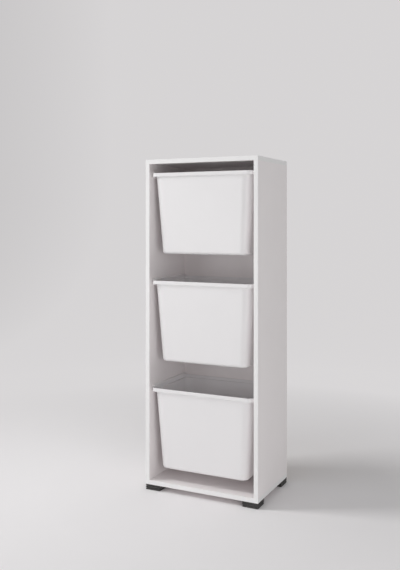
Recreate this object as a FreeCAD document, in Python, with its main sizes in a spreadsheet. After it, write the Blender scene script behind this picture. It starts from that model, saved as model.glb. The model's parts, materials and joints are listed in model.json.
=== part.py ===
# Drawer unit for a child's room: a tall open cabinet of white board on four low feet.
# Three deep moulded bins hang by their collars in channel runners and pull out to the front.
# Millimetres. The origin is on the floor under the middle of the unit, +X is to the right,
# -Y is to the front and +Z is up.
import FreeCAD, Part
import math
import os
import re

import Sketcher

# The driving sizes. Every piece takes its sizes and its place from these cells.
SIZES = {
    # cabinet
    "unit_width": 450,
    "unit_depth": 300,
    "unit_height": 1230,
    "board_thickness": 16,
    "band_thickness": 1,
    "band_edge_radius": 0.5,
    # back panel, held in a groove all round
    "back_thickness": 3,
    "back_inset": 12,
    "groove_depth": 7,
    "groove_side_clearance": 0.2,
    "groove_end_clearance": 1,
    # corner feet
    "foot_height": 20,
    "foot_width": 60,
    "foot_corner_radius": 2,
    "foot_draft_angle": 2,
    "foot_groove_height": 3,
    "foot_groove_depth": 4.5,
    "foot_screw_spacing": 24,
    "foot_screw_seat": 8,
    "foot_screw_cover": 3,
    # bins
    "bin_height": 300,
    "bin_wall": 2.4,
    "bin_top_gap": 34,
    "bin_bottom_gap": 44,
    "collar_height": 14,
    "collar_side_overhang": 9.5,
    "collar_front_overhang": 5,
    "collar_under_radius": 2.5,
    "rim_edge_radius": 0.9,
    "rim_corner_radius": 24,
    "rim_front_inset": 2.5,
    "rim_back_gap": 0.5,
    "rim_side_gap": 0.5,
    "wall_corner_radius": 36,
    "base_corner_radius": 28,
    "base_edge_radius": 10,
    "base_ring_width": 24,
    "base_recess_depth": 2,
    "base_recess_radius": 12,
    "side_draft_share": 0.08,
    "front_draft_share": 0.05,
    # channel runners
    "runner_base": 2.5,
    "runner_wall_gap": 3.5,
    "runner_lower_lip": 4,
    "runner_upper_lip": 5,
    "runner_under_gap": 0.3,
    "runner_over_gap": 1.2,
    "runner_front_inset": 24,
    "runner_rear_gap": 2,
    "runner_end_radius": 3,
    "runner_lip_radius": 0.8,
    "runner_screw_inset": 28,
    "runner_screw_cover": 4.5,
    # countersunk screws of the runners and of the feet
    "runner_screw_head": 6.8,
    "runner_screw_head_depth": 1.8,
    "runner_screw_core": 2.6,
    "foot_screw_head": 7.6,
    "foot_screw_head_depth": 2.2,
    "foot_screw_core": 3.2,
    "screw_tip_length": 3,
    "cross_slot_width": 1,
    "cross_slot_depth": 1.2,
    "cross_slot_share": 0.62,
    # connecting screws, dowels and caps of the board joints
    "joint_screw_inset": 50,
    "joint_screw_edge": 3,
    "joint_screw_flare": 1.5,
    "joint_screw_head_depth": 3,
    "joint_screw_neck_gap": 1,
    "joint_screw_thread_depth": 1,
    "joint_screw_length": 50,
    "hex_wall": 1.5,
    "hex_depth": 3,
    "joint_dowel_spacing": 32,
    "dowel_edge": 4,
    "dowel_length": 30,
    "dowel_chamfer": 1,
    "dowel_cover": 6,
    "cap_overlap": 1,
    "cap_thickness": 1,
    "cap_edge_chamfer": 0.2,
    # the most that a rounding takes of the wall, lip, band or corner that carries it
    "rim_rounding_share": 0.4,
    "band_rounding_share": 0.6,
    "runner_rounding_share": 0.75,
    "base_rounding_share": 0.7,
    # fits and cuts
    "fastener_clearance": 0.1,
    "hole_bottom_clearance": 0.5,
    "cut_overrun": 5,
    "match_tolerance": 0.01,
}

# Sizes that follow from the driving ones.
FOLLOWING = {
    "inner_width": "unit_width - 2 * board_thickness",
    "inner_height": "unit_height - foot_height - 2 * board_thickness",
    "inner_floor": "foot_height + board_thickness",
    "joint_place": "(unit_width - board_thickness) / 2",
    "joint_screw_place": "unit_depth / 2 - joint_screw_inset",
    "joint_dowel_place": "joint_screw_place - joint_dowel_spacing",
    "joint_screw_grip": "board_thickness - cap_thickness",
    "joint_screw_head": "board_thickness - 2 * joint_screw_edge",
    "joint_screw_neck": "joint_screw_head - 2 * joint_screw_flare",
    "joint_screw_core": "joint_screw_neck - 2 * joint_screw_thread_depth",
    "hex_key": "joint_screw_neck - 2 * hex_wall",
    "dowel_diameter": "board_thickness - 2 * dowel_edge",
    "dowel_in_panel": "board_thickness - dowel_cover",
    "cap_diameter": "joint_screw_head + 2 * cap_overlap",
    "band_rounding": "min(band_edge_radius; band_rounding_share * band_thickness)",
    "board_front": "band_thickness - unit_depth / 2",
    "board_back": "unit_depth / 2",
    "back_face": "unit_depth / 2 - back_inset - back_thickness",
    "groove_front": "back_face - groove_side_clearance",
    "groove_back": "back_face + back_thickness + groove_side_clearance",
    "back_tongue": "groove_depth - groove_end_clearance",
    "foot_place_x": "(unit_width - foot_width) / 2",
    "foot_place_y": "(unit_depth - foot_width) / 2",
    "foot_rib_height": "(foot_height - 2 * foot_groove_height) / 3",
    "foot_screw_length": "foot_screw_seat + board_thickness - foot_screw_cover",
    "rim_width": "inner_width - 2 * runner_base - 2 * rim_side_gap",
    "rim_depth": "back_face - rim_back_gap - rim_front_inset + unit_depth / 2",
    "rim_middle": "(back_face - rim_back_gap + rim_front_inset - unit_depth / 2) / 2",
    "wall_height": "bin_height - collar_height",
    "wall_width": "rim_width - 2 * collar_side_overhang",
    "wall_depth": "rim_depth - 2 * collar_front_overhang",
    "base_width": "wall_width - 2 * side_draft_share * wall_height",
    "base_depth": "wall_depth - 2 * front_draft_share * wall_height",
    "base_rounding": "min(base_edge_radius; base_rounding_share * base_corner_radius)",
    "rim_rounding": "min(rim_edge_radius; rim_rounding_share * bin_wall)",
    "floor_level": "base_recess_depth + bin_wall",
    "ledge_level": "wall_height + bin_wall",
    "bin_top_level": "unit_height - board_thickness - bin_top_gap",
    "bin_pitch": "(inner_height - bin_top_gap - bin_bottom_gap - bin_height) / 2",
    "runner_reach": "runner_base + rim_side_gap + collar_side_overhang - runner_wall_gap",
    "runner_slot": "collar_height + runner_under_gap + runner_over_gap",
    "runner_height": "runner_lower_lip + runner_slot + runner_upper_lip",
    "runner_front": "runner_front_inset - unit_depth / 2",
    "runner_length": "back_face - runner_rear_gap - runner_front",
    "runner_middle": "runner_front + runner_length / 2",
    "runner_drop": "collar_height + runner_under_gap + runner_lower_lip",
    "runner_rounding": "min(runner_end_radius; runner_rounding_share * runner_lower_lip)",
    "runner_screw_place": "runner_length / 2 - runner_screw_inset",
    "runner_screw_length": "runner_base + board_thickness - runner_screw_cover",
}

LEVELS = ("top", "middle", "bottom")
SIDES = {"left": -1, "right": 1}
ENDS = {"front": -1, "rear": 1}

doc = FreeCAD.newDocument("drawer_unit")
sheet = doc.addObject("Spreadsheet::Sheet", "Sizes")
rows = {name: str(value) for name, value in SIZES.items()}
rows.update({name: "=" + formula for name, formula in FOLLOWING.items()})
for row, (name, content) in enumerate(rows.items(), start=1):
    sheet.set(f"A{row}", name)
    sheet.set(f"B{row}", content)
    sheet.setAlias(f"B{row}", name)
doc.recompute()

pieces = []


# Formulas and places

def named(formula):
    """Point each named size in a formula at its cell."""
    def cell(word):
        return f"Sizes.{word.group()}" if word.group() in rows else word.group()
    return re.sub(r"[a-z_]+", cell, formula)


def number(formula):
    """Work out a formula of named sizes."""
    return float(sheet.evalExpression(named(formula)))


def bind(thing, **formulas):
    """Tie properties of an object to formulas of named sizes."""
    for name, formula in formulas.items():
        thing.setExpression(name, named(formula))


def place(thing, x="0", y="0", z="0", axis=(0, 0, 1), turn=0):
    """Set an object down in the unit, turned about an axis by whole degrees."""
    thing.Placement = FreeCAD.Placement(FreeCAD.Vector(), FreeCAD.Rotation(FreeCAD.Vector(*axis), turn))
    for letter, formula in zip("xyz", (x, y, z)):
        thing.setExpression(f"Placement.Base.{letter}", named(formula))


# Sketches

def new_body(label, is_piece=True):
    """Start a body; a piece is written to a file of its own."""
    body = doc.addObject("PartDesign::Body", label)
    body.Label = label
    if is_piece:
        pieces.append(body)
    return body


def new_sketch(body, role, level="0"):
    """Start a sketch on one of the body's own planes, raised to a level."""
    sketch = body.newObject("Sketcher::SketchObject", body.Name + "_sketch")
    origin_plane = next(item for item in body.Origin.OriginFeatures if item.Role == role)
    sketch.AttachmentSupport = [(origin_plane, "")]
    sketch.MapMode = "FlatFace"
    sketch.setExpression("AttachmentOffset.Base.z", named(level))
    return sketch


def dimension(sketch, kind, points, formula):
    """Give a sketch a dimension that follows a formula."""
    index = sketch.addConstraint(Sketcher.Constraint(kind, *points, number(formula)))
    sketch.setExpression(f"Constraints[{index}]", named(formula))


def pin_point(sketch, geometry, point, x, y):
    """Fix a point of a sketch at x and y from the sketch's origin."""
    for kind, axis, formula in (("DistanceX", -2, x), ("DistanceY", -1, y)):
        distance = number(formula)
        if distance > 0:
            dimension(sketch, kind, (-1, 1, geometry, point), formula)
        elif distance < 0:
            dimension(sketch, kind, (geometry, point, -1, 1), f"-1 * ({formula})")
        else:
            sketch.addConstraint(Sketcher.Constraint("PointOnObject", geometry, point, axis))


def draw_outline(sketch, points):
    """Draw a closed outline of straight lines through corners given as formulas."""
    first = len(sketch.Geometry)
    drawn = [FreeCAD.Vector(number(x), number(y), 0) for x, y in points]
    for start, end in zip(drawn, drawn[1:] + drawn[:1]):
        sketch.addGeometry(Part.LineSegment(start, end))
    for index, (x, y) in enumerate(points):
        before = first + (index - 1) % len(points)
        sketch.addConstraint(Sketcher.Constraint("Coincident", before, 2, first + index, 1))
        pin_point(sketch, first + index, 1, x, y)


def draw_rectangle(sketch, left, right, low, high):
    """Draw a rectangle between four formulas."""
    draw_outline(sketch, ((left, low), (right, low), (right, high), (left, high)))


def draw_rounded_rectangle(sketch, width, depth, radius):
    """Draw a rectangle with rounded corners, centred on the sketch's origin."""
    first = len(sketch.Geometry)
    half_width = number(width) / 2
    half_depth = number(depth) / 2
    corner = number(radius)
    quarter = math.pi / 2
    arcs = []
    for turn, (x, y) in enumerate(((1, -1), (1, 1), (-1, 1), (-1, -1))):
        middle = FreeCAD.Vector(x * (half_width - corner), y * (half_depth - corner), 0)
        circle = Part.Circle(middle, FreeCAD.Vector(0, 0, 1), corner)
        arcs.append(Part.ArcOfCircle(circle, (turn - 1) * quarter, turn * quarter))
    for arc in arcs:
        sketch.addGeometry(arc)
    for arc, following in zip(arcs, arcs[1:] + arcs[:1]):
        sketch.addGeometry(Part.LineSegment(arc.EndPoint, following.StartPoint))
    right, back, left, front = (first + len(arcs) + side for side in range(len(arcs)))
    for index, line in enumerate((right, back, left, front)):
        following = first + (index + 1) % len(arcs)
        sketch.addConstraint(Sketcher.Constraint("Tangent", first + index, 2, line, 1))
        sketch.addConstraint(Sketcher.Constraint("Tangent", line, 2, following, 1))
    for line in (right, left):
        sketch.addConstraint(Sketcher.Constraint("Vertical", line))
    for line in (back, front):
        sketch.addConstraint(Sketcher.Constraint("Horizontal", line))
    for index in range(1, len(arcs)):
        sketch.addConstraint(Sketcher.Constraint("Equal", first, first + index))
    sketch.addConstraint(Sketcher.Constraint("Symmetric", first, 3, first + 2, 3, -1, 1))
    dimension(sketch, "Radius", (first,), radius)
    dimension(sketch, "DistanceX", (left, 1, right, 1), width)
    dimension(sketch, "DistanceY", (front, 1, back, 1), depth)


def draw_circles(sketch, places, diameter):
    """Draw equal circles at places given as formulas."""
    for x, y in places:
        middle = FreeCAD.Vector(number(x), number(y), 0)
        circle = Part.Circle(middle, FreeCAD.Vector(0, 0, 1), number(diameter) / 2)
        index = sketch.addGeometry(circle)
        pin_point(sketch, index, 3, x, y)
        dimension(sketch, "Diameter", (index,), diameter)


# Features

def pad(body, sketch, length, backwards=False):
    """Raise a sketch into material, along its normal or backwards."""
    feature = body.newObject("PartDesign::Pad", body.Name + "_pad")
    feature.Profile = sketch
    feature.Reversed = backwards
    bind(feature, Length=length)
    return feature


def pocket(body, sketch, depth, along_normal=False):
    """Cut a sketch into the body, against its normal or along it."""
    feature = body.newObject("PartDesign::Pocket", body.Name + "_pocket")
    feature.Profile = sketch
    feature.Reversed = along_normal
    bind(feature, Length=depth)
    return feature


def drill(body, role, level, places, diameter, depth, along_normal=False):
    """Drill equal blind holes from a level of one of the body's planes."""
    sketch = new_sketch(body, role, level)
    draw_circles(sketch, places, diameter)
    return pocket(body, sketch, depth, along_normal)


def drill_countersunk(body, role, level, places, diameter, head, head_depth, along_normal=False):
    """Drill equal holes right through the body, countersunk for screw heads."""
    sketch = new_sketch(body, role, level)
    draw_circles(sketch, places, diameter)
    doc.recompute()
    feature = body.newObject("PartDesign::Hole", body.Name + "_hole")
    feature.Profile = sketch
    feature.Reversed = along_normal
    feature.ThreadType = "None"
    feature.DepthType = "ThroughAll"
    feature.HoleCutType = "Countersink"
    feature.HoleCutCustomValues = True
    flare = f"(({head}) - ({diameter})) / 2"
    bind(feature, Diameter=diameter, HoleCutDiameter=head)
    bind(feature, HoleCutCountersinkAngle=f"2 * atan({flare} / ({head_depth}))")
    return feature


def revolve(body, points):
    """Turn an outline of radius and height into a round solid about the upright axis."""
    sketch = new_sketch(body, "XZ_Plane")
    draw_outline(sketch, points)
    feature = body.newObject("PartDesign::Revolution", body.Name + "_turned")
    feature.Profile = sketch
    feature.ReferenceAxis = (sketch, ["V_Axis"])
    feature.Angle = 360
    return feature


def round_edges(body, radius, wanted):
    """Round every edge of the body's last feature that the test wants."""
    doc.recompute()
    base = body.Tip
    names = [f"Edge{index}" for index, edge in enumerate(base.Shape.Edges, start=1) if wanted(edge)]
    feature = body.newObject("PartDesign::Fillet", body.Name + "_rounding")
    feature.Base = (base, names)
    bind(feature, Radius=radius)
    return feature


def lies_at(edge, letter, level):
    """Whether an edge lies at one level along X, Y or Z."""
    low = getattr(edge.BoundBox, letter + "Min")
    high = getattr(edge.BoundBox, letter + "Max")
    return max(abs(low - level), abs(high - level)) <= number("match_tolerance")


def corners(x, y):
    """The four places at plus and minus x and y."""
    return [(f"{across} * ({x})", f"{along} * ({y})") for across in (-1, 1) for along in (-1, 1)]


# Boards

def end_panel(label):
    """Top or bottom panel, drawn with its inner face at z = 0 and its outer face up."""
    body = new_body(label)
    sketch = new_sketch(body, "XY_Plane")
    end = "unit_width / 2 - band_thickness"
    draw_rectangle(sketch, f"-1 * ({end})", end, "board_front", "board_back")
    pad(body, sketch, "board_thickness")
    groove = new_sketch(body, "XY_Plane")
    groove_end = "inner_width / 2 + groove_depth"
    draw_rectangle(groove, f"-1 * ({groove_end})", groove_end, "groove_front", "groove_back")
    pocket(body, groove, "groove_depth", along_normal=True)
    dowel_hole = "dowel_diameter + 2 * fastener_clearance"
    dowel_places = corners("joint_place", "joint_dowel_place")
    drill(body, "XY_Plane", "0", dowel_places, dowel_hole, "dowel_in_panel + hole_bottom_clearance", True)
    screw_places = corners("joint_place", "joint_screw_place")
    cap_seat = "cap_diameter + 2 * fastener_clearance"
    drill(body, "XY_Plane", "board_thickness", screw_places, cap_seat, "cap_thickness")
    drill_countersunk(
        body, "XY_Plane", "joint_screw_grip", screw_places, "joint_screw_neck + 2 * fastener_clearance",
        "joint_screw_head + 2 * fastener_clearance", "joint_screw_head_depth")
    return body


def top_panel():
    body = end_panel("top_panel")
    place(body, z="unit_height - board_thickness")


def bottom_panel():
    """The bottom panel is turned over and also takes the screws of the feet."""
    body = end_panel("bottom_panel")
    places = [
        (f"{across} * (foot_place_x + {step} * foot_screw_spacing / 2)", f"{along} * foot_place_y")
        for across in (-1, 1) for along in (-1, 1) for step in (-1, 1)]
    depth = "foot_screw_length - foot_screw_seat + hole_bottom_clearance"
    drill(body, "XY_Plane", "board_thickness", places, "foot_screw_core + 2 * fastener_clearance", depth)
    place(body, z="inner_floor", axis=(0, 1, 0), turn=180)


def runner_level(level):
    """Height of the middle of a runner's slot above the floor inside the cabinet."""
    rim = f"(bin_top_level - {LEVELS.index(level)} * bin_pitch)"
    return f"({rim} - runner_drop + runner_lower_lip + runner_slot / 2 - inner_floor)"


def side_panel(name):
    """Side panel, drawn with its inner face at x = 0 and its lower end at z = 0."""
    side = SIDES[name]
    body = new_body(f"{name}_side_panel")
    outer = f"{side} * board_thickness"
    groove = f"{side} * groove_depth"
    section = new_sketch(body, "XY_Plane")
    draw_outline(section, (
        ("0", "board_front"), (outer, "board_front"), (outer, "board_back"), ("0", "board_back"),
        ("0", "groove_back"), (groove, "groove_back"), (groove, "groove_front"), ("0", "groove_front")))
    pad(body, section, "inner_height")
    middle = f"{side} * board_thickness / 2"
    screw_hole = "joint_screw_core + 2 * fastener_clearance"
    screw_depth = "joint_screw_length - joint_screw_grip + hole_bottom_clearance"
    dowel_hole = "dowel_diameter + 2 * fastener_clearance"
    dowel_depth = "dowel_length - dowel_in_panel + hole_bottom_clearance"
    for level, upwards in (("0", True), ("inner_height", False)):
        screws = [(middle, f"{end} * joint_screw_place") for end in (-1, 1)]
        dowels = [(middle, f"{end} * joint_dowel_place") for end in (-1, 1)]
        drill(body, "XY_Plane", level, screws, screw_hole, screw_depth, upwards)
        drill(body, "XY_Plane", level, dowels, dowel_hole, dowel_depth, upwards)
    pilots = [
        (f"runner_middle + {step} * runner_screw_place", runner_level(level))
        for level in LEVELS for step in (-1, 0, 1)]
    pilot_depth = "runner_screw_length - runner_base + hole_bottom_clearance"
    drill(body, "YZ_Plane", "0", pilots, "runner_screw_core + 2 * fastener_clearance", pilot_depth, side > 0)
    place(body, x=f"{side} * inner_width / 2", z="inner_floor")


def back_panel():
    body = new_body("back_panel")
    sketch = new_sketch(body, "XZ_Plane")
    end = "inner_width / 2 + back_tongue"
    draw_rectangle(sketch, f"-1 * ({end})", end, "-1 * back_tongue", "inner_height + back_tongue")
    pad(body, sketch, "back_thickness", backwards=True)
    place(body, y="back_face", z="inner_floor")


def edge_band(label, length, **where):
    """Edge band along x, glued at y = 0, its two long outer edges rounded."""
    body = new_body(label)
    sketch = new_sketch(body, "YZ_Plane", f"-1 * ({length}) / 2")
    draw_rectangle(sketch, "-1 * band_thickness", "0", "0", "board_thickness")
    pad(body, sketch, length)
    front = -number("band_thickness")
    half_length = number(length) / 2

    def long_outer_edge(edge):
        return lies_at(edge, "Y", front) and edge.Length > half_length

    round_edges(body, "band_rounding", long_outer_edge)
    place(body, **where)


def edge_bands():
    board_length = "unit_depth - band_thickness"
    levels = {"top": "unit_height - board_thickness", "bottom": "foot_height"}
    for name, level in levels.items():
        edge_band(f"{name}_front_edge_band", "unit_width", y="board_front", z=level)
        for side_name, side in SIDES.items():
            edge_band(
                f"{name}_{side_name}_edge_band", board_length,
                x=f"{side} * (unit_width / 2 - band_thickness)", y="band_thickness / 2", z=level,
                turn=90 * side)
    for side_name, side in SIDES.items():
        inner_edge = "inner_width / 2" if side < 0 else "unit_width / 2"
        edge_band(
            f"{side_name}_side_edge_band", "inner_height",
            x=f"{side} * {inner_edge}", y="board_front", z="inner_floor + inner_height / 2",
            axis=(0, 1, 0), turn=-90)


# Feet

def foot(end_name, side_name):
    """Tapered square foot with two grooves round it and two sunk screw holes."""
    body = new_body(f"{end_name}_{side_name}_foot")
    top = new_sketch(body, "XY_Plane", "foot_height")
    draw_rounded_rectangle(top, "foot_width", "foot_width", "foot_corner_radius")
    block = pad(body, top, "foot_height", backwards=True)
    bind(block, TaperAngle="-1 * foot_draft_angle")
    neck = "foot_width - 2 * foot_groove_depth - 2 * foot_height * tan(foot_draft_angle) / 2"
    outside = "foot_width + 2 * cut_overrun"
    for below in (1, 2):
        level = f"{below} * foot_rib_height + {below} * foot_groove_height"
        ring = new_sketch(body, "XY_Plane", level)
        draw_rounded_rectangle(ring, outside, outside, "foot_corner_radius")
        draw_rounded_rectangle(ring, neck, neck, "foot_corner_radius")
        pocket(body, ring, "foot_groove_height")
    places = [(f"{step} * foot_screw_spacing / 2", "0") for step in (-1, 1)]
    head_hole = "foot_screw_head + 2 * fastener_clearance"
    seat = "foot_height - foot_screw_seat"
    drill(body, "XY_Plane", "0", places, head_hole, seat, True)
    drill_countersunk(body, "XY_Plane", seat, places, "foot_screw_core + 2 * fastener_clearance",
                      head_hole, "foot_screw_head_depth", True)
    place(body, x=f"{SIDES[side_name]} * foot_place_x", y=f"{ENDS[end_name]} * foot_place_y")


# Runners

def runner(level, side_name):
    """Channel runner along y, its base on the side panel at x = 0, open to +x."""
    body = new_body(f"{side_name}_{level}_runner")
    section = new_sketch(body, "XZ_Plane", "runner_length / -2")
    slot_floor = "runner_lower_lip"
    slot_roof = "runner_lower_lip + runner_slot"
    draw_outline(section, (
        ("0", "0"), ("runner_reach", "0"), ("runner_reach", slot_floor), ("runner_base", slot_floor),
        ("runner_base", slot_roof), ("runner_reach", slot_roof), ("runner_reach", "runner_height"),
        ("0", "runner_height")))
    pad(body, section, "runner_length")
    height = number("runner_height")
    reach = number("runner_reach")
    half_length = number("runner_length / 2")

    def end_corner(edge):
        at_end = any(lies_at(edge, "Y", end * half_length) for end in (-1, 1))
        return at_end and any(lies_at(edge, "Z", level) for level in (0, height))

    def lip_edge(edge):
        return lies_at(edge, "X", reach) and edge.BoundBox.YLength > half_length

    round_edges(body, "runner_rounding", end_corner)
    round_edges(body, "runner_lip_radius", lip_edge)
    places = [(f"{step} * runner_screw_place", f"{slot_floor} + runner_slot / 2") for step in (-1, 0, 1)]
    drill_countersunk(
        body, "YZ_Plane", "runner_base", places, "runner_screw_core + 2 * fastener_clearance",
        "runner_screw_head + 2 * fastener_clearance", "runner_screw_head_depth")
    side = SIDES[side_name]
    place(body, x=f"{side} * inner_width / 2", y="runner_middle",
          z=f"bin_top_level - {LEVELS.index(level)} * bin_pitch - runner_drop", turn=90 * (1 + side))


# Bins

def tub(body, low, high, top, inset, edge_radius):
    """Drafted block from one level to another, its foot rounded, with the wider collar above it."""
    sections = []
    for level, corner in ((high, "wall_corner_radius"), (low, "base_corner_radius")):
        drop = f"(wall_height - ({level}))"
        section = new_sketch(body, "XY_Plane", level)
        draw_rounded_rectangle(
            section, f"wall_width - 2 * side_draft_share * {drop} - 2 * {inset}",
            f"wall_depth - 2 * front_draft_share * {drop} - 2 * {inset}", f"{corner} - {inset}")
        sections.append(section)
    walls = body.newObject("PartDesign::AdditiveLoft", body.Name + "_walls")
    walls.Profile = sections[0]
    walls.Sections = sections[1:]
    walls.Ruled = True
    foot_level = number(low)
    round_edges(body, edge_radius, lambda edge: lies_at(edge, "Z", foot_level))
    collar = new_sketch(body, "XY_Plane", high)
    draw_rounded_rectangle(
        collar, f"rim_width - 2 * {inset}", f"rim_depth - 2 * {inset}", f"rim_corner_radius - {inset}")
    pad(body, collar, f"{top} - ({high})")


def storage_bin(level):
    """Deep moulded bin: drafted walls, a stepped collar round the mouth and a recessed underside."""
    core = new_body(f"{level}_bin_core", is_piece=False)
    over_mouth = "bin_height + cut_overrun"
    tub(core, "floor_level", "ledge_level", over_mouth, "bin_wall", "base_rounding - bin_wall")
    body = new_body(f"{level}_bin")
    tub(body, "0", "wall_height", "bin_height", "0", "base_rounding")
    collar_foot = number("wall_height")
    wall_side = number("wall_width") / 2
    wall_front = number("wall_depth") / 2

    def under_collar(edge):
        middle = edge.valueAt((edge.FirstParameter + edge.LastParameter) / 2)
        outside = abs(middle.x) > wall_side or abs(middle.y) > wall_front
        return lies_at(edge, "Z", collar_foot) and outside

    round_edges(body, "collar_under_radius", under_collar)
    recess = new_sketch(body, "XY_Plane")
    draw_rounded_rectangle(
        recess, "base_width - 2 * base_ring_width", "base_depth - 2 * base_ring_width", "base_recess_radius")
    pocket(body, recess, "base_recess_depth", along_normal=True)
    hollow = body.newObject("PartDesign::Boolean", body.Name + "_hollow")
    hollow.Type = "Cut"
    hollow.setObjects([core])
    mouth = number("bin_height")
    round_edges(body, "rim_rounding", lambda edge: lies_at(edge, "Z", mouth))
    place(body, y="rim_middle", z=f"bin_top_level - {LEVELS.index(level)} * bin_pitch - bin_height")


# Fasteners

def countersunk_screw(kind):
    """Countersunk wood screw with a cross slot, head up at z = 0, its core without the thread."""
    body = new_body(kind, is_piece=False)
    head = f"{kind}_head / 2"
    core = f"{kind}_core / 2"
    revolve(body, (
        ("0", "0"), (head, "0"), (core, f"-1 * {kind}_head_depth"),
        (core, f"screw_tip_length - {kind}_length"), ("0", f"-1 * {kind}_length")))
    slot = f"cross_slot_share * {kind}_head / 2"
    half = "cross_slot_width / 2"
    cross = new_sketch(body, "XY_Plane")
    arm = ((slot, f"-1 * {half}"), (slot, half), (half, half))
    points = []
    for quarter in range(4):
        points.extend(arm)
        arm = [(f"-1 * ({y})", x) for x, y in arm]
    draw_outline(cross, points)
    pocket(body, cross, "cross_slot_depth")
    return body


def joint_screw():
    """Connecting screw for board joints: conical head, plain neck, thinner threaded part."""
    body = new_body("joint_screw", is_piece=False)
    head = "joint_screw_head / 2"
    neck = "joint_screw_neck / 2"
    core = "joint_screw_core / 2"
    neck_end = "joint_screw_neck_gap - joint_screw_grip"
    revolve(body, (
        ("0", "0"), (head, "0"), (neck, "-1 * joint_screw_head_depth"), (neck, neck_end), (core, neck_end),
        (core, "screw_tip_length - joint_screw_length"), ("0", "-1 * joint_screw_length")))
    socket = new_sketch(body, "XY_Plane")
    point = "hex_key / sqrt(3)"
    flat = "hex_key / 2"
    draw_outline(socket, (
        (point, "0"), (f"{point} / 2", flat), (f"{point} / -2", flat),
        (f"-1 * {point}", "0"), (f"{point} / -2", f"-1 * {flat}"), (f"{point} / 2", f"-1 * {flat}")))
    pocket(body, socket, "hex_depth")
    return body


def dowel():
    """Wooden dowel, chamfered at both ends, its lower end at z = 0."""
    body = new_body("dowel", is_piece=False)
    radius = "dowel_diameter / 2"
    revolve(body, (
        ("0", "0"), (f"{radius} - dowel_chamfer", "0"), (radius, "dowel_chamfer"),
        (radius, "dowel_length - dowel_chamfer"), (f"{radius} - dowel_chamfer", "dowel_length"),
        ("0", "dowel_length")))
    return body


def cover_cap():
    """Round cap with a chamfered edge, flush with the panel over a screw head."""
    body = new_body("cover_cap", is_piece=False)
    radius = "cap_diameter / 2"
    revolve(body, (
        ("0", "0"), (radius, "0"), (radius, "cap_thickness - cap_edge_chamfer"),
        (f"{radius} - cap_edge_chamfer", "cap_thickness"), ("0", "cap_thickness")))
    return body


def group(label, master, places):
    """Set equal fasteners down at their places, as one piece of separate solids."""
    links = []
    for where in places:
        link = doc.addObject("App::Link", label + "_link")
        link.LinkedObject = master
        place(link, **where)
        links.append(link)
    compound = doc.addObject("Part::Compound", label)
    compound.Label = label
    compound.Links = links
    pieces.append(compound)


def fasteners():
    joint_places = corners("joint_place", "joint_screw_place")
    dowel_places = corners("joint_place", "joint_dowel_place")
    over = {"axis": (1, 0, 0), "turn": 180}
    screw = joint_screw()
    cap_level = "unit_height - cap_thickness"
    group("top_panel_screws", screw, [dict(x=x, y=y, z=cap_level) for x, y in joint_places])
    group("bottom_panel_screws", screw, [
        dict(x=x, y=y, z="foot_height + cap_thickness", **over) for x, y in joint_places])
    peg = dowel()
    top_joint = "unit_height - board_thickness"
    group("top_dowels", peg, [
        dict(x=x, y=y, z=f"{top_joint} + dowel_in_panel - dowel_length") for x, y in dowel_places])
    group("bottom_dowels", peg, [dict(x=x, y=y, z="inner_floor - dowel_in_panel") for x, y in dowel_places])
    group("screw_cover_caps", cover_cap(), [dict(x=x, y=y, z=cap_level) for x, y in joint_places])
    group("runner_screws", countersunk_screw("runner_screw"), [
        dict(x=f"{side} * (inner_width / 2 - runner_base)", y=f"runner_middle + {step} * runner_screw_place",
             z=f"inner_floor + {runner_level(level)}", axis=(0, 1, 0), turn=-90 * side)
        for side in SIDES.values() for level in LEVELS for step in (-1, 0, 1)])
    group("foot_screws", countersunk_screw("foot_screw"), [
        dict(x=f"{across} * foot_place_x + {step} * foot_screw_spacing / 2", y=f"{along} * foot_place_y",
             z="foot_height - foot_screw_seat", **over)
        for across in SIDES.values() for along in ENDS.values() for step in (-1, 1)])


# The whole unit

top_panel()
bottom_panel()
back_panel()
for side_name in SIDES:
    side_panel(side_name)
edge_bands()
for end_name in ENDS:
    for side_name in SIDES:
        foot(end_name, side_name)
for level in LEVELS:
    for side_name in SIDES:
        runner(level, side_name)
    storage_bin(level)
fasteners()
doc.recompute()

# Nothing is written unless every object is sound and every cut removed material.
cuts = ("PartDesign::Pocket", "PartDesign::Hole", "PartDesign::Boolean")
for item in doc.Objects:
    if "Invalid" in item.State or "Error" in item.State:
        raise RuntimeError(f"{item.Label} failed: {item.State}")
    if item.TypeId in cuts and item.Shape.Volume >= item.BaseFeature.Shape.Volume:
        raise RuntimeError(f"{item.Label} cuts nothing")
for piece in pieces:
    if piece.Shape.isNull() or not piece.Shape.isValid():
        raise RuntimeError(f"{piece.Label} has no sound shape")

os.makedirs("parts", exist_ok=True)
for piece in pieces:
    piece.Shape.exportStep(f"parts/{piece.Label}.step")
    box = piece.Shape.BoundBox
    print(f"{piece.Label}: {len(piece.Shape.Solids)} solid(s), {piece.Shape.Volume / 1000:.1f} cm3, "
          f"{box.XLength:.1f} x {box.YLength:.1f} x {box.ZLength:.1f} mm")
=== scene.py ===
# %% [markdown]
# # A drawer unit with three hanging bins
#
# The real object is a tall open cabinet of white melamine board on four low feet. Three deep moulded
# bins hang by their collars in plastic runners and pull out to the front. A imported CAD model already
# holds every board, runner, bin and screw as a node of its own, at its real size. This lesson leaves
# those shapes where they are and gives each one its finish, then adds a studio, light and a camera.
# Units are metres, +Z is up and the front of the unit looks along -Y.

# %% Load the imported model
import json
import math

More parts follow.
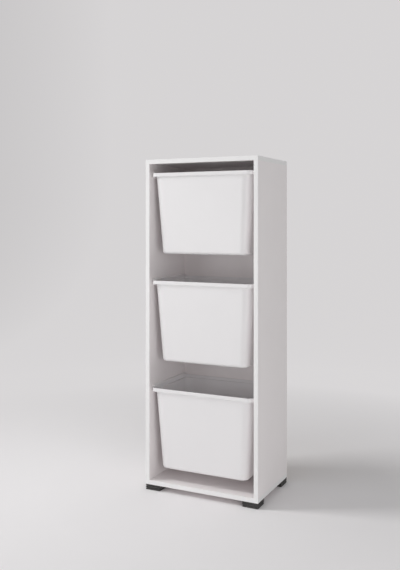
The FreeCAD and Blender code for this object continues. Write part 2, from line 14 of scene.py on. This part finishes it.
import bmesh
import bpy
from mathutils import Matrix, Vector


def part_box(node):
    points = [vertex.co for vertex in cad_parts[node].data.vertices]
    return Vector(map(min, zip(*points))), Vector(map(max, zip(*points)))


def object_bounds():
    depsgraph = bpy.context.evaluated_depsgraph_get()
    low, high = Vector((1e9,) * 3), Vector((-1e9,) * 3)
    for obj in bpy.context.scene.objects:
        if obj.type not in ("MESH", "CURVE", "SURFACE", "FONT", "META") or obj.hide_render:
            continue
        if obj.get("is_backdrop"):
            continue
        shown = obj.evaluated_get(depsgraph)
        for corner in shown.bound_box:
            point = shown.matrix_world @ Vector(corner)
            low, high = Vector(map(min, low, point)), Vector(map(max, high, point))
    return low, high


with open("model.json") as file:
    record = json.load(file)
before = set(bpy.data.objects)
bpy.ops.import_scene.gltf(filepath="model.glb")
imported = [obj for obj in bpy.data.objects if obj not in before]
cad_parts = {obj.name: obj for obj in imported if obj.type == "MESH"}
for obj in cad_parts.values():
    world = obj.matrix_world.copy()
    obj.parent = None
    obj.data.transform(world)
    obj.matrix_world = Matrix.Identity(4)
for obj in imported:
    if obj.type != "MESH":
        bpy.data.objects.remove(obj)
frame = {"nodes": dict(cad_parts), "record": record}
nodes = frame["nodes"]
record = frame["record"]
cad_low, cad_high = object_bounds()
print("the unit measures", " x ".join(f"{side * 1000:.0f}" for side in cad_high - cad_low), "mm")

# %% [markdown]
# ## The camera
#
# The unit is seen from its right, from about chest height, and its upright edges stay upright. A camera
# that is tilted down would make them lean. So the camera is kept level, as an architect's camera is, and
# the lens is shifted down until the feet come into the frame.

# %% Place the camera
picture_width = 400
picture_height = 570
focal_pixels = 739.5
sensor_width = 36.0
lens_shift_share = -0.113
camera_place = Vector((1.1745, -2.5432, 1.0034))
camera_turn = math.radians(26.12)
level_gaze = math.radians(90)

camera_data = bpy.data.cameras.new("studio_camera")
camera_data.sensor_width = sensor_width
camera_data.lens = focal_pixels * sensor_width / max(picture_width, picture_height)
camera_data.shift_y = lens_shift_share
camera = bpy.data.objects.new("studio_camera", camera_data)
camera.location = camera_place
camera.rotation_euler = (level_gaze, 0, camera_turn)
bpy.context.scene.collection.objects.link(camera)
bpy.context.scene.camera = camera
print(f"the lens is {camera_data.lens:.1f} mm, {camera_place.length:.2f} m from the unit's foot")

# %% [markdown]
# ## Helpers for shader nodes
#
# Every finish below is a small tree of shader nodes. Writing each link by hand hides what the tree does,
# so a few helpers do the wiring: one feeds a socket with a value or with another node's output, one adds
# a node with its inputs, and one starts a material and hands back its shader and its coordinates. The
# coordinates are the Object ones, in metres, so a grain of half a millimetre is written as 0.0005.

# %% Define the wiring helpers
def rgb(red, green, blue):
    """A colour with full cover."""
    return (red, green, blue, 1.0)


def feed(tree, value, socket):
    """Link another node's output to a socket, or set the socket to a plain value."""
    if isinstance(value, bpy.types.NodeSocket):
        tree.links.new(value, socket)
    else:
        socket.default_value = value


def add_node(tree, kind, inputs, **options):
    """Add a node with its options set and its inputs fed, by name or by number."""
    node = tree.nodes.new(kind)
    for name, value in options.items():
        setattr(node, name, value)
    for name, value in inputs.items():
        feed(tree, value, node.inputs[name])
    return node


def start_material(name):
    """A new material, its tree, its shader, and the place of the shaded point in metres."""
    material = bpy.data.materials.new(name)
    material.use_nodes = True
    tree = material.node_tree
    place = tree.nodes.new("ShaderNodeTexCoord").outputs["Object"]
    return material, tree, tree.nodes["Principled BSDF"], place


print("wiring helpers ready for Blender", bpy.app.version_string)


# %% Define helpers for sums and colours
def calculate(tree, operation, first, second=0.0):
    """One step of arithmetic on one or two values."""
    return add_node(tree, "ShaderNodeMath", {0: first, 1: second}, operation=operation).outputs[0]


def rescale(tree, value, low, high, new_low=0.0, new_high=1.0):
    """Move a value from one range to another, held at both ends."""
    limits = {"Value": value, "From Min": low, "From Max": high, "To Min": new_low, "To Max": new_high}
    return add_node(tree, "ShaderNodeMapRange", limits).outputs["Result"]


def mix_colours(tree, share, first, second):
    """Blend two colours by a share from 0 to 1. Sockets 6 and 7 of the node are its colour ones."""
    inputs = {0: share, 6: first, 7: second}
    return add_node(tree, "ShaderNodeMix", inputs, data_type="RGBA").outputs[2]


print("helpers for sums and colours ready")


# %% Define helpers for places and patterns
def split(tree, arrow):
    """The X, Y and Z parts of a place or a direction."""
    return add_node(tree, "ShaderNodeSeparateXYZ", {"Vector": arrow}).outputs


def combine(tree, operation, first, second=(0.0, 0.0, 0.0)):
    """One step of arithmetic on one or two places."""
    return add_node(tree, "ShaderNodeVectorMath", {0: first, 1: second}, operation=operation).outputs


def surface_normal(tree):
    """The way the surface looks, in the frame of the unit."""
    return tree.nodes.new("ShaderNodeNewGeometry").outputs["Normal"]


def noise(tree, place, size, detail):
    """Cloudy noise from 0 to 1, with clouds of the given size in metres."""
    sized_by_node = isinstance(size, bpy.types.NodeSocket)
    scale = calculate(tree, "DIVIDE", 1.0, size) if sized_by_node else 1 / size
    inputs = {"Vector": place, "Scale": scale, "Detail": detail}
    return add_node(tree, "ShaderNodeTexNoise", inputs).outputs["Fac"]


print("helpers for places and patterns ready")

# %% [markdown]
# ## Effects that finishes share
#
# Board, edge band, bin and runner are all white, and a flat white looks like paper. What tells them apart
# is how fine their surface is and how it shines. That could be wired anew in each material, but it is the
# same effect with other numbers, so it is a node group with named sockets, built once. It puts out a
# colour that wanders a little, a roughness that changes from place to place, and a height for the grain.

# %% Build the group for a fine surface
def start_group(name, inputs, outputs):
    """An empty shader group with named sockets: its tree, its way in and its way out."""
    group = bpy.data.node_groups.new(name, "ShaderNodeTree")
    for socket_name, kind in inputs.items():
        group.interface.new_socket(socket_name, in_out="INPUT", socket_type=kind)
    for socket_name, kind in outputs.items():
        group.interface.new_socket(socket_name, in_out="OUTPUT", socket_type=kind)
    entry = group.nodes.new("NodeGroupInput")
    leave = group.nodes.new("NodeGroupOutput")
    return group, entry.outputs, leave.inputs


number = "NodeSocketFloat"
colour = "NodeSocketColor"
vector = "NodeSocketVector"
black = rgb(0.0, 0.0, 0.0)
cloud_size = 0.09
smear_size = 0.02
noise_middle = 0.5

fine_surface, given, made = start_group(
    "fine_surface",
    {"Place": vector, "Color": colour, "Tone Depth": number, "Roughness": number, "Gloss Spread": number,
     "Grain Size": number},
    {"Color": colour, "Roughness": number, "Height": number})
clouds = noise(fine_surface, given["Place"], cloud_size, detail=3.0)
darker = calculate(fine_surface, "MULTIPLY", clouds, given["Tone Depth"])
feed(fine_surface, mix_colours(fine_surface, darker, given["Color"], black), made["Color"])
smears = noise(fine_surface, given["Place"], smear_size, detail=2.0)
lean = calculate(fine_surface, "SUBTRACT", smears, noise_middle)
swing = calculate(fine_surface, "MULTIPLY", lean, given["Gloss Spread"])
feed(fine_surface, calculate(fine_surface, "ADD", given["Roughness"], swing), made["Roughness"])
feed(fine_surface, noise(fine_surface, given["Place"], given["Grain Size"], detail=2.0), made["Height"])
print("fine_surface has", len(fine_surface.nodes), "nodes")

# %% [markdown]
# Three more effects are groups too. Hands, tools and the floor rub an arris, the narrow rounding where two
# faces meet. It could be painted on by hand, edge by edge, but a rounding looks along none of the three
# axes, so its normal tells it on every piece at once. Pale dust and a painted highlight lie where a surface
# looks up, in patches, and the normal tells that too. Streaks are noise that is squeezed along one axis.

# %% Build the group for rubbed edges
rub_size = 0.012
rub_patches = (0.3, 0.6)
flat_face = 0.97
full_arris = 0.8

rubbed_edges, given, made = start_group(
    "rubbed_edges", {"Place": vector, "Amount": number}, {"Mask": number})
parts = split(rubbed_edges, combine(rubbed_edges, "ABSOLUTE", surface_normal(rubbed_edges))[0])
wider = calculate(rubbed_edges, "MAXIMUM", parts["Y"], parts["Z"])
widest = calculate(rubbed_edges, "MAXIMUM", parts["X"], wider)
arris = rescale(rubbed_edges, widest, flat_face, full_arris)
patches = rescale(rubbed_edges, noise(rubbed_edges, given["Place"], rub_size, detail=3.0), *rub_patches)
rubbed = calculate(rubbed_edges, "MULTIPLY", arris, patches)
feed(rubbed_edges, calculate(rubbed_edges, "MULTIPLY", rubbed, given["Amount"]), made["Mask"])
print("rubbed_edges has", len(rubbed_edges.nodes), "nodes")

# %% Build the groups for dust with a painted highlight, and for streaks
dust_and_highlight_size = 0.006
dust_and_highlight_patches = (0.35, 0.7)
dust_and_highlight_slope = 0.2

upward_dust_and_highlight, given, made = start_group(
    "upward_dust_and_highlight", {"Place": vector, "Amount": number}, {"Mask": number})
# The mask marks what looks up: pale dust there, and a painted highlight where light would catch a ledge.
upward = rescale(upward_dust_and_highlight, split(upward_dust_and_highlight, surface_normal(upward_dust_and_highlight))["Z"], dust_and_highlight_slope, 1.0)
patches = rescale(upward_dust_and_highlight, noise(upward_dust_and_highlight, given["Place"], dust_and_highlight_size, detail=4.0), *dust_and_highlight_patches)
dusty_and_highlighted = calculate(upward_dust_and_highlight, "MULTIPLY", upward, patches)
feed(upward_dust_and_highlight, calculate(upward_dust_and_highlight, "MULTIPLY", dusty_and_highlighted, given["Amount"]), made["Mask"])

long_streaks, given, made = start_group(
    "long_streaks", {"Place": vector, "Squeeze": vector, "Size": number}, {"Mask": number})
squeezed = combine(long_streaks, "MULTIPLY", given["Place"], given["Squeeze"])[0]
feed(long_streaks, noise(long_streaks, squeezed, given["Size"], detail=3.0), made["Mask"])
print("groups:", ", ".join(group.name for group in bpy.data.node_groups))

# %% [markdown]
# ## How a finish is put together
#
# Each finish lays down the fine surface and puts its own marks over it. Grain and marks are relief, and
# relief could be modelled, but a grain of half a millimetre would take millions of faces on one board. A
# bump leaves the faces flat and only turns the light, which is all that the eye gets from such a grain. The
# depth of the bump is the grain's, and a mark that stands higher says how many such steps high it is. A
# finished material is kept for the slot of the record that it belongs to.

# %% Define the helpers for a finish
finishes = {}


def place_group(tree, group, inputs):
    """Set a shared group down in a material and feed its sockets."""
    return add_node(tree, "ShaderNodeGroup", inputs, node_tree=group).outputs


def lay_surface(tree, place, **look):
    """The fine surface with the numbers of one finish."""
    inputs = {name.replace("_", " ").title(): value for name, value in look.items()}
    return place_group(tree, fine_surface, {"Place": place, **inputs})


def finish_shader(tree, shader, tint, roughness, height, depth):
    """Feed a shader its colour, its roughness and a relief of the given depth in metres."""
    feed(tree, tint, shader.inputs["Base Color"])
    feed(tree, roughness, shader.inputs["Roughness"])
    relief = add_node(tree, "ShaderNodeBump", {"Height": height, "Distance": depth})
    feed(tree, relief.outputs["Normal"], shader.inputs["Normal"])


def keep_finish(slot, material):
    """Keep a material for one of the record's slots and say how many nodes it took."""
    finishes[slot] = material
    print(f"{slot} takes {len(material.node_tree.nodes)} nodes")


print("a finish starts with lay_surface and ends with keep_finish")

# %% [markdown]
# ## White melamine board
#
# The cabinet is chipboard pressed between two sheets of white melamine paper. The faces have a fine
# pearled texture with a low satin shine. The rear edges carry no band, so the pressed chips show there:
# flat flakes of about three millimetres in several browns. A picture of chipboard would need a mapping
# on every board. Voronoi cells need none, and they are let in only where the board ends at the back,
# which the Object coordinate along Y tells.

# %% Lay out the pressed chips
flake_size = 0.003
flake_browns = (rgb(0.42, 0.27, 0.14), rgb(0.72, 0.56, 0.37))
pore_brown = rgb(0.16, 0.09, 0.05)
pore_size = 0.0015
pore_limits = (0.6, 0.75)
pore_share = 0.6


def chipboard(tree, place):
    """Colour and height of pressed chips."""
    cells = add_node(tree, "ShaderNodeTexVoronoi", {"Vector": place, "Scale": 1 / flake_size})
    tone = add_node(tree, "ShaderNodeSeparateColor", {"Color": cells.outputs["Color"]}).outputs["Red"]
    flakes = mix_colours(tree, tone, *flake_browns)
    gaps = noise(tree, place, pore_size, detail=3.0)
    pores = rescale(tree, gaps, *pore_limits, 0.0, pore_share)
    return mix_colours(tree, pores, flakes, pore_brown), tone


print(f"the flakes measure {flake_size * 1000:.0f} mm")

# %% Make the board finish
board_white = rgb(0.905, 0.866, 0.866)
pearl_depth = 0.00004
chip_steps = 5.0
raw_roughness = 0.9
saw_skin = 0.0002
board_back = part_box("left_side_panel")[1].y


def melamine_white():
    """White pearled faces, with bare chips where the board ends at the back."""
    material, tree, shader, place = start_material("melamine_white")
    surface = lay_surface(
        tree, place, color=board_white, tone_depth=0.03, roughness=0.42, gloss_spread=0.12, grain_size=0.0009)
    chips, chip_height = chipboard(tree, place)
    raw = calculate(tree, "GREATER_THAN", split(tree, place)["Y"], board_back - saw_skin)
    tint = mix_colours(tree, raw, surface["Color"], chips)
    roughness = calculate(
        tree, "MAXIMUM", surface["Roughness"], calculate(tree, "MULTIPLY", raw, raw_roughness))
    raw_height = calculate(tree, "MULTIPLY", chip_height, raw)
    chip_relief = calculate(tree, "MULTIPLY", raw_height, chip_steps)
    height = calculate(tree, "ADD", surface["Height"], chip_relief)
    finish_shader(tree, shader, tint, roughness, height, pearl_depth)
    return material


keep_finish("melamine_white", melamine_white())

# %% [markdown]
# ## Edge bands and caps
#
# The front edges and the ends of the boards are closed by a plastic band one millimetre thick. It is cooler
# than the board, with a softer grain, and its two arrises are scraped round and polished by the trimmer.
# Polish could be a paler colour, but a polished white is no paler, it only shines more. So the rubbed
# edges take from the roughness and leave the colour. The caps are punched from the same plastic.

# %% Make the band and cap finishes
band_white = rgb(0.862, 0.856, 0.854)
cap_white = rgb(0.86, 0.85, 0.848)
band_depth = 0.00001
trimmer_polish = 0.14


def banded_plastic(name, tint):
    """Smooth plastic in one tint, with polished arrises."""
    material, tree, shader, place = start_material(name)
    surface = lay_surface(
        tree, place, color=tint, tone_depth=0.02, roughness=0.38, gloss_spread=0.1, grain_size=0.0014)
    polish = place_group(tree, rubbed_edges, {"Place": place, "Amount": trimmer_polish})["Mask"]
    roughness = calculate(tree, "SUBTRACT", surface["Roughness"], polish)
    finish_shader(tree, shader, surface["Color"], roughness, surface["Height"], band_depth)
    return material


keep_finish("edge_band_white", banded_plastic("edge_band_white", band_white))
keep_finish("cap_plastic", banded_plastic("cap_plastic", cap_white))

# %% [markdown]
# ## Moulded bins
#
# A bin is moulded in one shot. The mould was spark-eroded, which leaves an even matt grain, and a bin that
# leaves a deep mould drags faint streaks down its walls. Its rim is smoother, where hands take hold. Under
# the base, in the middle, is the round mark where the plastic came in. That mark could be cut into the
# shape, but it is less than a tenth of a millimetre high, so it joins the grain in the bump.

# %% Make the gate mark
gate_radius = 0.006
gate_slope = 0.0006
faces_down = -0.5
drop_height = (1.0, 1.0, 0.0)
bin_low, bin_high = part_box("top_bin")
gate_centre = ((bin_low.x + bin_high.x) / 2, (bin_low.y + bin_high.y) / 2, 0.0)


def gate_mark(tree, place):
    """A shallow round mark under the middle of the base."""
    flat_place = combine(tree, "MULTIPLY", place, drop_height)[0]
    from_gate = combine(tree, "DISTANCE", flat_place, gate_centre)["Value"]
    mark = rescale(tree, from_gate, gate_radius, gate_radius - gate_slope)
    underneath = calculate(tree, "LESS_THAN", split(tree, surface_normal(tree))["Z"], faces_down)
    return calculate(tree, "MULTIPLY", mark, underneath)


print(f"the gate mark is {2 * gate_radius * 1000:.0f} mm across")

# %% Make the bin finish
bin_white = rgb(0.833, 0.82, 0.826)
spark_depth = 0.00003
gate_steps = 3.0
drag_size = 0.004
drag_squeeze = (1.0, 1.0, 0.02)
drag_limits = (0.3, 0.7)
drag_swing = 0.03
rim_lean = (0.2, 0.5)
rim_polish = 0.1


def bin_plastic():
    """Matt plastic with streaks down its walls, a polished rim and the gate mark."""
    material, tree, shader, place = start_material("bin_plastic")
    surface = lay_surface(
        tree, place, color=bin_white, tone_depth=0.02, roughness=0.4, gloss_spread=0.1, grain_size=0.0006)
    down_walls = {"Place": place, "Squeeze": drag_squeeze, "Size": drag_size}
    drag = place_group(tree, long_streaks, down_walls)["Mask"]
    dragged = rescale(tree, drag, *drag_limits, -drag_swing, drag_swing)
    polish = place_group(tree, rubbed_edges, {"Place": place, "Amount": rim_polish})["Mask"]
    uprightness = calculate(tree, "ABSOLUTE", split(tree, surface_normal(tree))["Z"])
    on_rim = calculate(tree, "MULTIPLY", polish, rescale(tree, uprightness, *rim_lean))
    streaked = calculate(tree, "ADD", surface["Roughness"], dragged)
    roughness = calculate(tree, "SUBTRACT", streaked, on_rim)
    gate = calculate(tree, "MULTIPLY", gate_mark(tree, place), gate_steps)
    height = calculate(tree, "ADD", surface["Height"], gate)
    finish_shader(tree, shader, surface["Color"], roughness, height, spark_depth)
    return material


keep_finish("bin_plastic", bin_plastic())

# %% [markdown]
# ## Runners
#
# The runners are moulded too, of a harder and smoother plastic. The collar of a bin slides along them and
# scratches them lengthwise. Scratches could be single lines, but hundreds of them run into each other, so
# they are the same streaks as on the bin, squeezed along the slide and made rough instead of smooth.

# %% Make the runner finish
runner_white = rgb(0.875, 0.86, 0.86)
runner_depth = 0.00001
slide_size = 0.0007
slide_squeeze = (1.0, 0.01, 1.0)
scratch_limits = (0.55, 0.7)
scratch_roughness = 0.2


def runner_plastic():
    """Smooth plastic, scratched along the slide."""
    material, tree, shader, place = start_material("runner_plastic")
    surface = lay_surface(
        tree, place, color=runner_white, tone_depth=0.02, roughness=0.34, gloss_spread=0.08,
        grain_size=0.0008)
    along_slide = {"Place": place, "Squeeze": slide_squeeze, "Size": slide_size}
    slide = place_group(tree, long_streaks, along_slide)["Mask"]
    scratches = rescale(tree, slide, *scratch_limits, 0.0, scratch_roughness)
    roughness = calculate(tree, "ADD", surface["Roughness"], scratches)
    finish_shader(tree, shader, surface["Color"], roughness, surface["Height"], runner_depth)
    return material


keep_finish("runner_plastic", runner_plastic())

# %% [markdown]
# ## The back panel
#
# The back is hardboard three millimetres thick: lacquered white in front, bare brown behind. The bare side
# keeps the print of the wire mesh that the wet board was pressed on. A picture of it would have to be
# repeated many times and its seams would show. Two sets of even ridges, across and up, make the print
# instead. The middle of the panel's thickness is where white changes to brown.

# %% Make the print of the wire mesh
mesh_pitch = 0.0018
wave_factor = 20.0
wire_waver = 0.4
waver_detail = 1.0


def ridges(tree, place, direction):
    """Even ridges along one axis. The node takes the sine of 20 times the scaled place."""
    scale = 2 * math.pi / (wave_factor * mesh_pitch)
    inputs = {"Vector": place, "Scale": scale, "Distortion": wire_waver, "Detail": waver_detail}
    return add_node(tree, "ShaderNodeTexWave", inputs, bands_direction=direction).outputs["Fac"]


def wire_print(tree, place):
    """High where the ridges of both directions meet."""
    return calculate(tree, "MULTIPLY", ridges(tree, place, "X"), ridges(tree, place, "Z"))


print(f"the mesh has a wire every {mesh_pitch * 1000:.1f} mm")

# %% Make the hardboard finish
lacquer_white = rgb(0.902, 0.86, 0.858)
fibre_browns = (rgb(0.2, 0.115, 0.06), rgb(0.4, 0.26, 0.15))
print_brown = rgb(0.46, 0.31, 0.19)
fibre_size = 0.002
print_share = 0.35
print_steps = 3.0
bare_roughness = 0.75
lacquer_depth = 0.00003
panel_low, panel_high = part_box("back_panel")
panel_middle = (panel_low.y + panel_high.y) / 2


def back_board():
    """Hardboard, lacquered in front and bare behind."""
    material, tree, shader, place = start_material("back_board")
    surface = lay_surface(
        tree, place, color=lacquer_white, tone_depth=0.03, roughness=0.45, gloss_spread=0.1,
        grain_size=0.0012)
    bare = calculate(tree, "GREATER_THAN", split(tree, place)["Y"], panel_middle)
    fibres = noise(tree, place, fibre_size, detail=6.0)
    mesh = wire_print(tree, place)
    pressed = mix_colours(tree, fibres, *fibre_browns)
    hardboard = mix_colours(tree, calculate(tree, "MULTIPLY", mesh, print_share), pressed, print_brown)
    tint = mix_colours(tree, bare, surface["Color"], hardboard)
    roughness = calculate(
        tree, "MAXIMUM", surface["Roughness"], calculate(tree, "MULTIPLY", bare, bare_roughness))
    pressed_height = calculate(tree, "MULTIPLY", calculate(tree, "ADD", fibres, mesh), print_steps)
    height = calculate(tree, "ADD", surface["Height"], calculate(tree, "MULTIPLY", bare, pressed_height))
    finish_shader(tree, shader, tint, roughness, height, lacquer_depth)
    return material


keep_finish("back_board", back_board())

# %% [markdown]
# ## Feet
#
# The feet are black plastic with a coarser grain. Their edges are rubbed grey by the floor, and pale dust
# lies on the ledges of their grooves. Both marks are partly a painted highlight. A plain black would swallow
# the grooves. Two of the groups draw them out without any new shape: one turns the arrises grey, the other
# puts dust and a painted highlight on what looks up.

# %% Make the foot finish
foot_black = rgb(0.056, 0.053, 0.052)
rub_and_highlight_grey = rgb(0.13, 0.125, 0.12)
dust_and_highlight_grey = rgb(0.5, 0.48, 0.45)
floor_rub_and_highlight = 0.5
ledge_dust_and_highlight = 0.4
foot_depth = 0.00004


def foot_plastic():
    """Black plastic with grey arrises and pale ledges, partly wear and dust, partly a painted highlight."""
    material, tree, shader, place = start_material("foot_plastic")
    surface = lay_surface(
        tree, place, color=foot_black, tone_depth=0.2, roughness=0.5, gloss_spread=0.15, grain_size=0.0009)
    # Painted highlight: the grey arrises and the pale upward ledges stand partly for light caught by the
    # grooves.
    rub_and_highlight_mask = place_group(tree, rubbed_edges, {"Place": place, "Amount": floor_rub_and_highlight})["Mask"]
    rubbed_and_highlighted_black = mix_colours(tree, rub_and_highlight_mask, surface["Color"], rub_and_highlight_grey)
    dust_and_highlight_mask = place_group(tree, upward_dust_and_highlight, {"Place": place, "Amount": ledge_dust_and_highlight})["Mask"]
    tint = mix_colours(tree, dust_and_highlight_mask, rubbed_and_highlighted_black, dust_and_highlight_grey)
    finish_shader(tree, shader, tint, surface["Roughness"], surface["Height"], foot_depth)
    return material


keep_finish("foot_plastic", foot_plastic())

# %% [markdown]
# ## Screws and dowels
#
# The screws are zinc plated steel: a metal whose shine is broken by the plating, so only the shader's own
# Metallic socket sets it apart from the plastics. The dowels are raw beech, with short flecks along the
# grain. Rings and rays could be worked out from a tree's shape, but a dowel is too thin to show them, and
# streaks of two sizes give the grain and its flecks.

# %% Make the steel finish
zinc_grey = rgb(0.62, 0.61, 0.57)
plating_depth = 0.00001


def screw_steel():
    """Zinc plate over steel."""
    material, tree, shader, place = start_material("screw_steel")
    surface = lay_surface(
        tree, place, color=zinc_grey, tone_depth=0.3, roughness=0.35, gloss_spread=0.3, grain_size=0.0004)
    finish_shader(tree, shader, surface["Color"], surface["Roughness"], surface["Height"], plating_depth)
    shader.inputs["Metallic"].default_value = 1.0
    return material


keep_finish("screw_steel", screw_steel())

# %% Make the beech finish
beech_browns = (rgb(0.5, 0.32, 0.17), rgb(0.72, 0.53, 0.33))
fleck_brown = rgb(0.3, 0.17, 0.08)
grain_squeeze = (1.0, 1.0, 0.12)
streak_size = 0.0012
fleck_size = 0.0006
fleck_limits = (0.6, 0.7)
fleck_share = 0.5
grain_limits = (0.3, 0.7)
beech_roughness = (0.62, 0.75)
beech_depth = 0.00005


def dowel_wood():
    """Raw beech with short flecks along its grain."""
    material, tree, shader, place = start_material("dowel_wood")
    along = {"Place": place, "Squeeze": grain_squeeze}
    grain = place_group(tree, long_streaks, {**along, "Size": streak_size})["Mask"]
    short_grain = place_group(tree, long_streaks, {**along, "Size": fleck_size})["Mask"]
    flecks = rescale(tree, short_grain, *fleck_limits, 0.0, fleck_share)
    tint = mix_colours(tree, flecks, mix_colours(tree, grain, *beech_browns), fleck_brown)
    roughness = rescale(tree, grain, *grain_limits, *beech_roughness)
    finish_shader(tree, shader, tint, roughness, grain, beech_depth)
    return material


keep_finish("dowel_wood", dowel_wood())

# %% [markdown]
# ## Dress the nodes
#
# The record says which material slot each node takes its finish from. Materials could be handed out node
# by node, but each finish was kept for its slot, so one loop does it. The meshes are not touched.

# %% Give every node its finish
for subpart in record["subparts"]:
    mesh = nodes[subpart["node"]].data
    mesh.materials.clear()
    mesh.materials.append(finishes[subpart["material_slot"]])
print(f"{len(record['subparts'])} nodes wear {len(finishes)} finishes")

# %% [markdown]
# ## The studio
#
# The unit stands on pale paper that curves up into a backdrop with no line between. Lit paper would grow
# darker with the distance, and more light on it would bleach the unit. So the paper near the unit takes the
# light and keeps the shadow, and further away it fades to an even glow, with a painted shade that dims it a
# little at the far left. Only the camera and mirrors see that glow, so it keeps the background pale and puts
# no light on the unit.

# %% Make the paper
paper_tone = rgb(0.872, 0.855, 0.862)
wall_glow = rgb(0.67, 0.655, 0.66)
painted_falloff_glow = rgb(0.57, 0.557, 0.562)
paper_depth = 0.00002
paper_shine = 0.2
glow_starts = 0.65
glow_ends = 1.8
dim_ends = -2.4
dim_starts = -3.2


def shows(tree):
    """1 where the camera or a mirror looks, 0 where light only bounces."""
    path = tree.nodes.new("ShaderNodeLightPath").outputs
    mirrored = calculate(tree, "MAXIMUM", path["Is Glossy Ray"], path["Is Transmission Ray"])
    return calculate(tree, "MAXIMUM", path["Is Camera Ray"], mirrored)


def studio_paper():
    """Pale paper that takes the light near the unit and glows further away."""
    material, tree, shader, place = start_material("studio_paper")
    surface = lay_surface(
        tree, place, color=paper_tone, tone_depth=0.01, roughness=0.85, gloss_spread=0.05, grain_size=0.002)
    away = combine(tree, "LENGTH", place)["Value"]
    glow = calculate(tree, "MULTIPLY", rescale(tree, away, glow_starts, glow_ends), shows(tree))
    # Painted shade: the wall's glow dims towards the far left, as if the light fell off there.
    painted_falloff_share = rescale(tree, split(tree, place)["X"], dim_starts, dim_ends)
    wall = mix_colours(tree, painted_falloff_share, painted_falloff_glow, wall_glow)
    tint = mix_colours(tree, glow, surface["Color"], black)
    finish_shader(tree, shader, tint, surface["Roughness"], surface["Height"], paper_depth)
    feed(tree, mix_colours(tree, glow, black, wall), shader.inputs["Emission Color"])
    shader.inputs["Emission Strength"].default_value = 1.0
    shader.inputs["Specular IOR Level"].default_value = paper_shine
    return material


paper = studio_paper()
print("the paper glows from", glow_starts, "to", glow_ends, "m away")

# %% [markdown]
# The floor is a disc. The backdrop could be a flat wall, but then only one side of the unit would have it
# behind. Two spins make it round: a vertex spun by a quarter turn draws the curve from floor to wall, and
# that curve spun round the unit makes a cove, so that every side is seen before the same paper.

# %% Build the floor
floor_radius = 2.4
round_steps = 128


def new_object(name, shape, finish):
    """Turn a bmesh into an object of the scene."""
    mesh = bpy.data.meshes.new(name)
    shape.to_mesh(mesh)
    shape.free()
    mesh.shade_smooth()
    mesh.materials.append(finish)
    piece = bpy.data.objects.new(name, mesh)
    bpy.context.scene.collection.objects.link(piece)
    return piece


disc = bmesh.new()
bmesh.ops.create_circle(disc, cap_ends=True, segments=round_steps, radius=floor_radius)
floor = new_object("studio_floor", disc, paper)
floor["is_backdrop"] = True
print(f"the floor is {2 * floor_radius:.1f} m across")

# %% Build the backdrop
cove_radius = 1.4
cove_steps = 24
wall_height = 4.4
quarter_turn = math.radians(90)
full_turn = math.radians(360)

cove = bmesh.new()
foot_of_cove = cove.verts.new((floor_radius, 0, 0))
curve = bmesh.ops.spin(
    cove, geom=[foot_of_cove], cent=(floor_radius, 0, cove_radius), axis=(0, -1, 0), angle=quarter_turn,
    steps=cove_steps)
head_of_cove = curve["geom_last"][0]
top_of_wall = bmesh.ops.extrude_vert_indiv(cove, verts=[head_of_cove])["verts"][0]
top_of_wall.co.z = wall_height
bmesh.ops.spin(
    cove, geom=cove.verts[:] + cove.edges[:], cent=(0, 0, 0), axis=(0, 0, 1), angle=full_turn,
    steps=round_steps, use_merge=True)
bmesh.ops.recalc_face_normals(cove, faces=cove.faces)
backdrop = new_object("studio_backdrop", cove, paper)
backdrop.visible_diffuse = False
backdrop.visible_shadow = False
backdrop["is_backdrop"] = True
print(f"the backdrop stands {floor_radius + cove_radius:.1f} m away all round")

# %% [markdown]
# ## The light
#
# A white room lights the unit evenly from all sides. Walls and a ceiling could be built and lit, but the
# world plays that room with one strength and no noise. The backdrop lets the room's light through, so that
# it only shows and never shades. White faces pass the light on to each other many times before it fades.
# The renderer stops after 4 bounces unless told otherwise, which leaves the bins too dark inside, so it is
# given more.

# %% Light the room
room_white = rgb(1.0, 1.0, 1.0)
room_strength = 0.435
light_bounces = 16

world = bpy.data.worlds.new("studio_room")
world.use_nodes = True
background = world.node_tree.nodes["Background"]
background.inputs["Color"].default_value = room_white
background.inputs["Strength"].default_value = room_strength
bpy.context.scene.world = world
bpy.context.scene.view_settings.view_transform = "Standard"
bpy.context.scene.cycles.diffuse_bounces = light_bounces
bpy.context.scene.cycles.max_bounces = light_bounces
print("the room glows at", room_strength, "and light bounces up to", light_bounces, "times")

# %% [markdown]
# Three softboxes give the faces their order. Bare lamps would draw hard shadows, so each is a lit area. The
# key stands high on the left and throws a soft shadow to the right across the floor. The other two stand
# level with the unit, so that their light goes in between the bins: one in front, a little to the left, and
# one on the right, which lights the inner face of the left side and the rounded right walls of the bins.

# %% Set up the softboxes
lamp_distance = 3.0
unit_middle = (cad_low + cad_high) / 2


def softbox(name, left_turn, rise, width, height, power):
    """A soft lamp that looks at the middle of the unit from a direction given in degrees."""
    turn = math.radians(left_turn)
    climb = math.radians(rise)
    towards = Vector((
        -math.sin(turn) * math.cos(climb), -math.cos(turn) * math.cos(climb), math.sin(climb)))
    lamp_data = bpy.data.lights.new(name, "AREA")
    lamp_data.shape = "RECTANGLE"
    lamp_data.size = width
    lamp_data.size_y = height
    lamp_data.energy = power
    lamp = bpy.data.objects.new(name, lamp_data)
    lamp.location = unit_middle + towards * lamp_distance
    lamp.rotation_euler = (-towards).to_track_quat("-Z", "Y").to_euler()
    lamp.visible_camera = False
    bpy.context.scene.collection.objects.link(lamp)
    print(f"{name} stands {lamp.location.z:.2f} m above the floor")


softbox("key_softbox", left_turn=64, rise=40, width=0.8, height=0.8, power=44)
softbox("front_softbox", left_turn=25, rise=0, width=1.2, height=0.9, power=11)
softbox("fill_softbox", left_turn=-50, rise=0, width=1.2, height=0.9, power=14)

# %% [markdown]
# ## Compare the sizes
#
# The finishes must not change the object's size.

# %% Compare the sizes
visual_low, visual_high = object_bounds()
boxes = [[list(cad_low), list(cad_high)], [list(visual_low), list(visual_high)]]
growth = [round(shown - drawn, 5) for drawn, shown in zip(boxes[0][1], boxes[1][1])]
print("the visual model is larger by", growth, "m")
